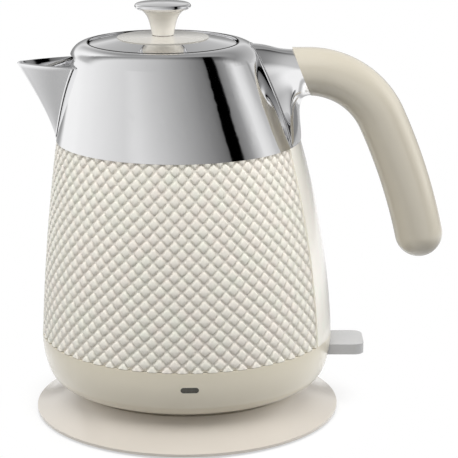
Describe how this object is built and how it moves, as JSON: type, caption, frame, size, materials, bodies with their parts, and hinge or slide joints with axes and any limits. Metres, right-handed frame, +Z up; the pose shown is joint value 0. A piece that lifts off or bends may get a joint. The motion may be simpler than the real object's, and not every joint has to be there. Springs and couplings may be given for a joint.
{
  "type": "electric kettle",
  "caption": "Electric kettle with a diamond-textured body, chrome collar and V spout, lift-off knobbed lid, free-ended grip and rear switch lever, standing on a round power stand.",
  "frame": {"origin": "on the stand's upright axis, at the worktop the rubber feet stand on, 1.5 mm under the stand's flat underside", "axes": "+Z up, +X towards the handle, -X towards the spout, -Y towards the side with the lamp"},
  "size_m": [0.2521, 0.1832, 0.2478],
  "materials": {
    "beige_plastic": "satin",
    "textured_plastic": "moulded diamonds, pearl gloss",
    "chrome": "polished",
    "silver_plastic": "silver lacquer",
    "clear_plastic": "smoky translucent",
    "dark_lens": "gloss",
    "black_plastic": "moulded",
    "white_plastic": "moulded",
    "steel": "brushed",
    "aluminium": "cast",
    "brass": "bright",
    "rubber": "matt",
    "silicone": "matt",
    "circuit_board": "lacquered"
  },
  "bodies": {
    "stand": {"stand_cover": "beige_plastic", "stand_floor": "beige_plastic", "stand_screws": "steel", "stand_feet": "rubber", "connector_tower": "black_plastic", "contact_ring": "brass", "centre_contact": "brass", "cord_gland": "rubber", "terminal_block": "white_plastic"},
    "coupler": {"coupler_cup": "black_plastic", "blade_ring": "brass", "centre_pin": "brass"},
    "lid": {"lid_dome": "chrome", "lid_disc": "beige_plastic", "knob_stem": "beige_plastic", "knob_cap": "chrome", "lid_liner": "white_plastic", "lid_gasket": "silicone", "knob_screw": "steel"},
    "lever": {"lever_paddle": "silver_plastic", "lever_arm": "white_plastic"},
    "rocker": {"trip_rocker": "white_plastic"},
    "kettle": {"base_cover": "beige_plastic", "base_screws": "steel", "base_band": "beige_plastic", "lamp_lens": "dark_lens", "lamp_board": "circuit_board", "lamp_led": "clear_plastic", "outer_wall": "textured_plastic", "rear_panel": "beige_plastic", "water_window": "clear_plastic", "window_gasket": "silicone", "inner_pot": "steel", "heating_plate": "steel", "pot_seal": "silicone", "heat_spreader": "aluminium", "heating_element": "steel", "control_body": "black_plastic", "control_screws": "steel", "snap_discs": "steel", "steam_tube": "white_plastic", "lever_pin": "steel", "lever_cradle": "white_plastic", "collar": "chrome", "collar_seal": "silicone", "spout": "chrome", "filter_frame": "white_plastic", "filter_mesh": "steel", "mouth_ring": "white_plastic", "handle_saddle": "chrome", "grip": "beige_plastic", "grip_core": "steel", "handle_bolts": "steel"}
  },
  "joints": [
    {"name": "kettle_lift", "type": "slide", "parent": "stand", "child": "coupler", "axis": [0, 0, 1], "range_m": [0, 0.08]},
    {"name": "kettle_swivel", "type": "hinge", "parent": "coupler", "child": "kettle", "pos_m": [0, 0, 0.03], "axis": [0, 0, 1], "continuous": true},
    {"name": "lid_lift", "type": "slide", "parent": "kettle", "child": "lid", "axis": [0, 0, 1], "range_m": [0, 0.06]},
    {"name": "lever_tilt", "type": "hinge", "parent": "kettle", "child": "lever", "pos_m": [0.077, 0, 0.03965], "axis": [0, 1, 0], "range_deg": [0, 12]},
    {"name": "rocker_tilt", "type": "hinge", "parent": "kettle", "child": "rocker", "pos_m": [0.046, 0, 0.0355], "axis": [0, 1, 0], "range_deg": [-15.6, 0]}
  ],
  "couplings": [
    {"joint": "rocker_tilt", "follows": "lever_tilt", "ratio": -1.3}
  ]
}
